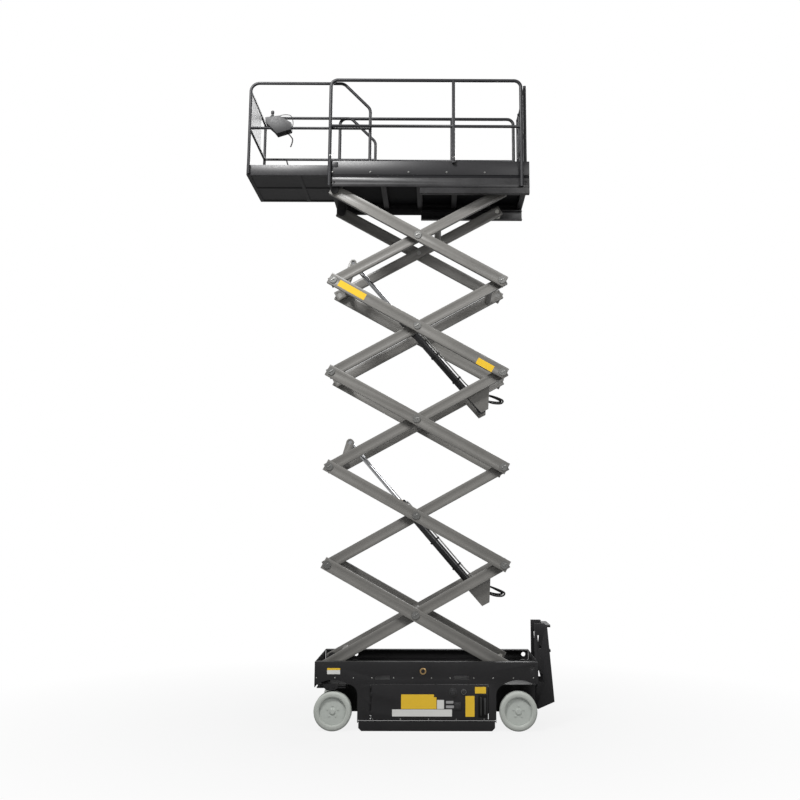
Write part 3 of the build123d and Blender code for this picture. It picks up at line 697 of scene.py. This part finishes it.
for side, label in ((-1, "near"), (1, "far")):
    screw = Shape()
    screw.lathe((0, 0, 0), (0, side, 0), [(-0.001, 0), (-0.001, 0.0068), (0.0016, 0.0068), (0.0034, 0.0050),
                                          (0.0040, 0.0030),
                                          (0.0028, 0.0026), (0.0028, 0)], 12)
    spots = []
    for x in rail_screw_x:
        spots.append((x, side_face(["chassis_rails"], x, rail_screw_z, side), rail_screw_z))
    copies(label + "_rail_screws", screw, spots, "chassis", pin_zinc)
    screw = Shape()
    screw.lathe((0, 0, 0), (0, side, 0), [(-0.001, 0), (-0.001, 0.0062), (0.0014, 0.0062), (0.0030, 0.0046),
                                          (0.0030, 0)], 12)
    tray = label + "_tray"
    spots = []
    for x in door_screw_x:
        spots.append((x, side_face([tray], x, door_screw_z, side), door_screw_z))
    copies(label + "_door_screws", screw, spots, tray, pin_zinc)


# Pin keepers: a small plate and its two bolts across each pin head, from both sides

keeper_lean = -0.52
keeper_thickness = 0.0022

for stage in range(1, 6):
    node = f"pins_{stage}"
    body = body_of_node[node]
    near, far = [], []
    for low, high in islands(node):
        x, z = (low.x + high.x) / 2, (low.z + high.z) / 2
        if low.y < -0.4:
            near.append((x, low.y, z))
        if high.y > 0.4:
            far.append((x, high.y, z))
    for side, label, spots in ((-1, "near", near), (1, "far", far)):
        if not spots:
            continue
        keeper = Shape()
        turn = Matrix.Rotation(keeper_lean, 3, "Y")
        keeper.box(-0.024, 0.024, *sorted((0, side * keeper_thickness)), -0.008, 0.008, 0.0006, turn)
        for along in (-0.013, 0.013):
            place = turn @ Vector((along, side * keeper_thickness, 0))
            keeper.lathe(place, (0, side, 0), [(-0.001, 0), (-0.001, 0.0065), (0.0014, 0.0065), (0.0018, 0.0055),
                                               (0.0018, 0)], 6)
        copies(f"pin_keepers_{stage}_{label}", keeper, spots, body, pin_zinc)


# Lift cylinders: glands, wipers, valve blocks, and the pipes and hoses they carry

base_pins = {"lower": (0.930, 1.274), "upper": (0.930, 3.297)}
rod_eyes = {"lower": (-0.510, 2.922), "upper": (-0.510, 4.944)}
barrel_length = 1.330
barrel_radius = 0.0460
band_places = (0.42, 0.78, 1.12)
for label in ("lower", "upper"):
    body = label + "_barrel"
    bx, bz = base_pins[label]
    ex, ez = rod_eyes[label]
    way = Vector((ex - bx, 0, ez - bz)).normalized()
    base = Vector((bx, 0, bz))
    gland = base + way * barrel_length
    wiper = Shape()
    wiper.lathe(gland, way, [(-0.060, 0.0462), (-0.060, 0.0540), (-0.002, 0.0540), (0.004, 0.0500), (0.004, 0.0300),
                             (0.010, 0.0285), (0.010, 0.0250), (-0.010, 0.0250)], 40)
    wiper.ride(label + "_gland", body, cylinder_black)
    ring = Shape()
    ring.lathe(gland, way, [(0.010, 0.0250), (0.010, 0.0285), (0.014, 0.0275), (0.014, 0.0246), (0.010, 0.0246)],
               40)
    ring.ride(label + "_wiper", body, brass)
    up = Vector((-way.z, 0, way.x))
    if up.z < 0:
        up = -up
    # Valve block on the barrel's base, with its ports and a pipe to the gland
    block_at = base + way * 0.130
    across = Vector((0, 1, 0))
    valve = Shape()
    turn = Matrix((way, across, up)).transposed()
    valve.box(-0.045, 0.045, -0.032, 0.032, 0.040, 0.092, 0.004)
    valve.rod((-0.020, -0.052, 0.068), (-0.020, -0.030, 0.068), 0.016, 20, 0.002)
    valve.rod((0.020, -0.052, 0.068), (0.020, -0.030, 0.068), 0.012, 6, 0.001)
    valve.rod((0.045, 0, 0.066), (0.085, 0, 0.066), 0.017, 20, 0.002)
    valve.rod((0, 0, 0.090), (0, 0, 0.112), 0.012, 6, 0.001)
    for vertex in valve.mesh.verts:
        vertex.co = turn @ vertex.co + block_at
    valve.ride(label + "_valve_block", body, pin_zinc)
    pipe = Shape()

    def spot(along, side, height):
        return base + way * along + across * side + up * height

    pipe.pipe([spot(0.215, 0, 0.066), spot(0.25, 0, 0.066), spot(0.30, 0.0, 0.062), spot(0.36, 0.0, 0.0585),
               spot(0.60, 0.0, 0.0585), spot(0.90, 0.0, 0.0585), spot(1.20, 0.0, 0.0585), spot(1.262, 0, 0.0585),
               spot(1.288, 0, 0.0560), spot(1.296, 0, 0.0480)], 0.0075, 12, 8)
    pipe.ride(label + "_barrel_pipe", body, pin_zinc)
    clamp = Shape()
    for at in band_places:
        band = [(-0.010, barrel_radius), (-0.010, 0.0485), (0.010, 0.0485), (0.010, barrel_radius)]
        clamp.lathe(base + way * at, way, band, 40)
    clamp.ride(label + "_pipe_bands", body, charcoal)
    saddle = Shape()
    for at in band_places:
        saddle.box(at - 0.010, at + 0.010, -0.013, 0.013, barrel_radius, 0.0685, 0.002)
    for vertex in saddle.mesh.verts:
        vertex.co = turn @ vertex.co + base
    saddle.ride(label + "_pipe_saddles", body, moulded_black)
    # Short hose loops at the base, held at both ends
    loops = Shape()
    for near, out, drop in ((-0.300, 0.0, 0.0), (-0.268, -0.022, 0.016)):
        run = [(-0.080, -0.040, 0.135), (-0.020, -0.130, 0.150), (0.070, near + 0.050, 0.125),
               (0.165 + out, near, 0.092),
               (0.225 + out, near, 0.060), (0.200 + out, near, 0.030 + drop), (0.110, near + 0.010, 0.036 + drop),
               (0.020, near + 0.080, 0.075), (-0.060, -0.080, 0.100), (-0.095, -0.038, 0.112)]
        loops.pipe([base + Vector(p) for p in run], 0.0100, 12, 8)
    loops.ride(label + "_base_hoses", body, hose_black)


# Front axle castings with their bolts and bar, guard hinge strips, and near-black strips along the floor's edges,
# painted shade in the gap under the toe boards

casting_face = 0.556

for side, label in ((-1, "near"), (1, "far")):
    casting = Shape()
    inner, outer = sorted((side * 0.400, side * casting_face))
    casting.outline([(-0.700, 0.458), (-0.548, 0.458), (-0.556, 0.412), (-0.585, 0.394), (-0.665, 0.394),
                     (-0.694, 0.418)],
                    inner, outer)
    casting.box(-0.735, -0.470, *sorted((side * 0.500, side * 0.528)), 0.424, 0.440, 0.003)
    casting.ride(label + "_axle_casting", "chassis", charcoal)
    bolts = Shape()
    bolts.lathe((0, 0, 0), (0, side, 0), [(-0.002, 0), (-0.002, 0.019), (0.002, 0.019), (0.002, 0.014),
                                          (0.012, 0.014),
                                          (0.0135, 0.0125), (0.0135, 0)], 6)
    copies(label + "_casting_bolts", bolts, [(x, side * casting_face, 0.430) for x in (-0.655, -0.595)],
           "chassis", charcoal)
    hinge = Shape()
    hinge.box(-0.3385, 1.0335, *sorted((side * 0.544, side * 0.554)), 0.1045, 0.1165, 0.0005)
    hinge.ride(label + "_guard_hinge_strip", "chassis", charcoal)
    # Near-black strip closing the gap under the toe board: painted shade.
    edge = Shape()
    edge.box(-0.764, 1.451, *sorted((side * 0.549, side * 0.555)), 5.7865, 5.8215)
    edge.ride(label + "_floor_edge", "platform", deck_shade_black)


# Platform floor tread: small raised lozenges in rows, leaning two ways by turns

tread_pitch = 0.046
tread_height = 0.0014


def tread(name, node, x0, x1, y0, y1, body, finish):
    z = None
    for probe in ((0.5, 0.5), (0.31, 0.37), (0.7, 0.6)):
        found = hit(node, (x0 + (x1 - x0) * probe[0], y0 + (y1 - y0) * probe[1], 20.0), (0, 0, -1))
        if found is not None:
            z = found.z if z is None else max(z, found.z)
    if z is None:
        return
    for lean, label, phase in ((math.radians(45), "a", 0), (math.radians(-45), "b", 1)):
        bar = Shape()
        c, s = math.cos(lean), math.sin(lean)
        ring = [(-0.014, 0), (-0.006, 0.0034), (0.006, 0.0034), (0.014, 0), (0.006, -0.0034), (-0.006, -0.0034)]
        low = [bar.mesh.verts.new((u * c - v * s, u * s + v * c, 0)) for u, v in ring]
        crown = [(u * 0.72, v * 0.45) for u, v in ring]
        high = [bar.mesh.verts.new((u * c - v * s, u * s + v * c, tread_height)) for u, v in crown]
        bar.mesh.faces.new(high)
        for k in range(6):
            n = (k + 1) % 6
            bar.mesh.faces.new((low[k], low[n], high[n], high[k]))
        spots = []
        count_x = int((x1 - x0) / tread_pitch)
        count_y = int((y1 - y0) / tread_pitch)
        for i in range(count_x):
            for j in range(count_y):
                if (i + j) % 2 == phase:
                    x = x0 + (i + 0.5) * (x1 - x0) / count_x
                    y = y0 + (j + 0.5) * (y1 - y0) / count_y
                    top = hit(node, (x, y, z + 0.02), (0, 0, -1))
                    if top is not None and abs(top.z - z) < 0.0015:
                        spots.append((x, y, z))
        copies(f"{name}_{label}", bar, spots, body, finish)


low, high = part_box("platform_floor")
tread("floor_tread", "platform_floor", low.x + 0.02, high.x - 0.02, low.y + 0.03, high.y - 0.03, "platform",
      platform_paint)
low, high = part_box("extension_deck")
tread("extension_tread", "extension_deck", low.x + 0.03, min(high.x - 0.03, -0.79), -0.46, 0.46, "extension",
      platform_paint)


# Platform trim on the toe boards

patch = Shape()
face = side_face(["toe_boards"], -0.70, 5.93)
patch.box(-0.742, -0.655, face - 0.003, face + 0.0005, 5.905, 5.965, 0.001)
patch.ride("toe_board_patch", "platform", platform_paint)

toe_bolt_x = (-0.715, -0.30, 0.12, 0.54, 0.96, 1.38)
toe_bolt_z = 5.852

for side, label in ((-1, "near"), (1, "far")):
    bolts = Shape()
    bolts.lathe((0, 0, 0), (0, side, 0), [(-0.002, 0), (-0.002, 0.011), (0.002, 0.011), (0.002, 0.0085),
                                          (0.0085, 0.0085),
                                          (0.0095, 0.0075), (0.0095, 0)], 6)
    spots = []
    for x in toe_bolt_x:
        spots.append((x, side_face(["toe_boards"], x, toe_bolt_z, side, 0.57), toe_bolt_z))
    copies(label + "_toe_bolts", bolts, spots, "platform", pin_zinc)

# Retaining wires of the rail pins
wire_radius = 0.0016
wire_line = 0.606

for side, label in ((-1, "near"), (1, "far")):
    wires = Shape()
    for x0, z0, x1, z1 in ((-0.700, 6.095, -0.752, 6.030), (0.640, 6.095, 0.604, 6.010)):
        y = side * wire_line
        mid = ((x0 + x1) / 2 + 0.012, y + side * 0.004, (z0 + z1) / 2 - 0.030)
        wires.pipe([(x0, y, z0), mid, (x1, y, z1)], wire_radius, 6, 8)
    wires.ride(label + "_pin_wires", "platform", pin_zinc)


# Control box: joystick, stop button and cables

low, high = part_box("control_box")
centre = (low + high) / 2
top = hit("control_box", (centre.x - 0.075, centre.y, high.z + 1.0), (0, 0, -1))
stick = Shape()
if top is not None:
    stick.lathe(top, (0, 0, 1), [(-0.006, 0), (-0.006, 0.036), (0.004, 0.036), (0.010, 0.028), (0.016, 0.031),
                                 (0.020, 0.024),
                                 (0.026, 0.026), (0.030, 0.018), (0.040, 0.014), (0.052, 0.0125), (0.052, 0)], 32)
    stick.ride("joystick_boot", "extension", moulded_black)
    grip = Shape()
    grip.lathe(top + Vector((0, 0, 0.050)), (0, 0, 1), [(0, 0), (0, 0.013), (0.006, 0.017), (0.020, 0.0190),
                                                        (0.034, 0.0170),
                                                        (0.040, 0.0120), (0.041, 0)], 24)
    grip.ride("joystick_grip", "extension", moulded_black)
top = hit("control_box", (centre.x + 0.06, centre.y, high.z + 1.0), (0, 0, -1))
if top is not None:
    stop = Shape()
    stop.lathe(top, (0, 0, 1), [(-0.008, 0), (-0.008, 0.020), (0.004, 0.020), (0.006, 0.013), (0.014, 0.012),
                                (0.015, 0.021),
                                (0.022, 0.021), (0.026, 0.017), (0.027, 0)], 28)
    stop.ride("stop_button", "extension", moulded_black)

cable = Shape()
cable.pipe([(-1.245, -0.486, 6.345), (-1.225, -0.500, 6.315), (-1.200, -0.520, 6.285), (-1.170, -0.528, 6.240),
            (-1.175, -0.526, 6.190), (-1.190, -0.522, 6.150)], 0.007, 10, 8)
cable.pipe([(-1.400, -0.470, 6.480), (-1.340, -0.470, 6.530), (-1.270, -0.470, 6.548), (-1.200, -0.475, 6.530),
            (-1.175, -0.480, 6.440), (-1.195, -0.486, 6.370), (-1.230, -0.486, 6.350)], 0.004, 8, 8)
cable.ride("control_cable", "extension", hose_black)

floor_lever = Shape()
floor_lever.rod((-1.205, -0.470, 5.862), (-1.205, -0.470, 5.885), 0.018, 20, 0.002)
floor_lever.pipe([(-1.205, -0.470, 5.880), (-1.213, -0.470, 5.925), (-1.226, -0.470, 5.975),
                  (-1.236, -0.470, 6.010)], 0.008, 10, 6)
floor_lever.ride("deck_latch_lever", "extension", moulded_black)


# Floor, white surroundings and soft lamps

floor_mesh = bpy.data.meshes.new("floor")
reach = 120.0
corners = [(-reach, -reach, 0), (reach, -reach, 0), (reach, reach, 0), (-reach, reach, 0)]
floor_mesh.from_pydata(corners, [], [(0, 1, 2, 3)])
floor = bpy.data.objects.new("floor", floor_mesh)
scene.collection.objects.link(floor)
floor_material, tree, output = new_material("studio_floor")
matt = add_node(tree, "ShaderNodeBsdfDiffuse")
matt.inputs["Color"].default_value = (0.32, 0.32, 0.32, 1)
glow = add_node(tree, "ShaderNodeEmission")
place = add_node(tree, "ShaderNodeTexCoord")
distance = add_node(tree, "ShaderNodeVectorMath", operation="LENGTH")
tree.links.new(place.outputs["Object"], distance.inputs[0])
away = add_node(tree, "ShaderNodeMapRange")
away.inputs["From Min"].default_value = 1.4
away.inputs["From Max"].default_value = 5.5
away.inputs["To Min"].default_value = 0.86
away.inputs["To Max"].default_value = 1.0
tree.links.new(distance.outputs["Value"], away.inputs["Value"])
share = add_node(tree, "ShaderNodeMath", operation="MULTIPLY")
tree.links.new(away.outputs["Result"], share.inputs[0])
tree.links.new(seen_directly(tree), share.inputs[1])
mixed_by(tree, share.outputs[0], matt, glow, output)
floor_mesh.materials.append(floor_material)

world = bpy.data.worlds.new("studio")
scene.world = world
world.use_nodes = True
tree = world.node_tree
tree.nodes.clear()
output = add_node(tree, "ShaderNodeOutputWorld")
around = add_node(tree, "ShaderNodeBackground")
around.inputs["Color"].default_value = (1, 1, 1, 1)
around.inputs["Strength"].default_value = 0.38
white = add_node(tree, "ShaderNodeBackground")
white.inputs["Color"].default_value = (1, 1, 1, 1)
white.inputs["Strength"].default_value = 1.0
mixed_by(tree, seen_directly(tree), around, white, output)


def lamp(name, place, aim, size, power):
    data = bpy.data.lights.new(name, "AREA")
    data.shape = "DISK"
    data.size = size
    data.energy = power
    made = bpy.data.objects.new(name, data)
    scene.collection.objects.link(made)
    made.location = place
    made.rotation_euler = (Vector(aim) - Vector(place)).to_track_quat("-Z", "Y").to_euler()


lamp("key_lamp", (-3.2, -5.8, 10.4), (0, 0, 5.6), 2.6, 1050)
lamp("fill_lamp", (7.0, -8.0, 7.0), (0, 0, 3.6), 6.0, 380)
lamp("back_lamp", (3.0, 9.0, 9.0), (0, 0, 4.0), 5.0, 500)

scene.view_settings.view_transform = "Standard"
